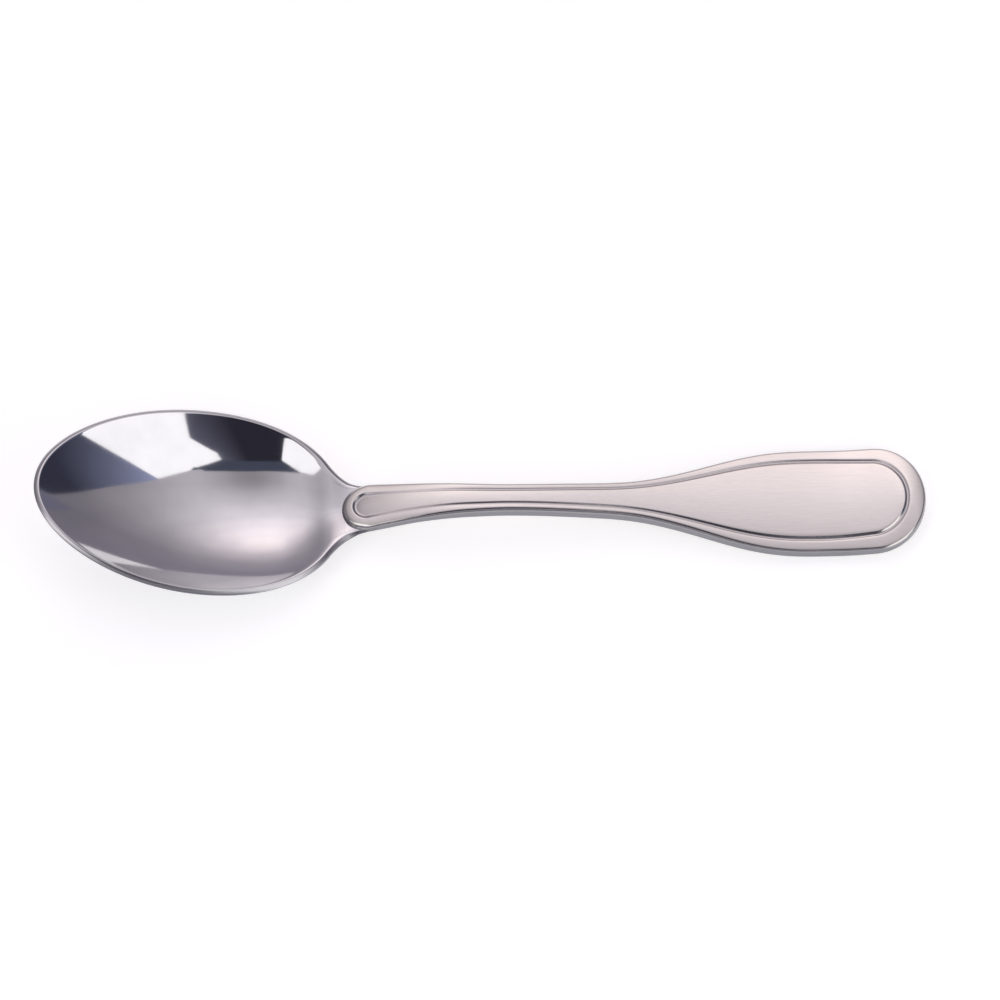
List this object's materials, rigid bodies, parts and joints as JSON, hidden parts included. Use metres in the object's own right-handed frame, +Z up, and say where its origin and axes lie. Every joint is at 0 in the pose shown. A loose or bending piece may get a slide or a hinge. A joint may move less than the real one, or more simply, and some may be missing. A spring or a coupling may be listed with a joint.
{
  "type": "teaspoon",
  "caption": "Steel teaspoon with an egg-shaped polished bowl and a satin fiddle-shaped handle with a raised, grooved border, for stirring, measuring and eating.",
  "frame": {"origin": "on the table, under the middle of the spoon's length, on its plane of symmetry", "axes": "+X from the bowl's tip to the handle's end, +Z up out of the hollow, +Y across the spoon"},
  "size_m": [0.14, 0.0322, 0.0157],
  "materials": {
    "polished_steel": "mirror-polished stainless steel",
    "satin_steel": "satin stainless steel"
  },
  "bodies": {
    "root": {"bowl": "polished_steel", "handle": "satin_steel"}
  },
  "joints": []
}
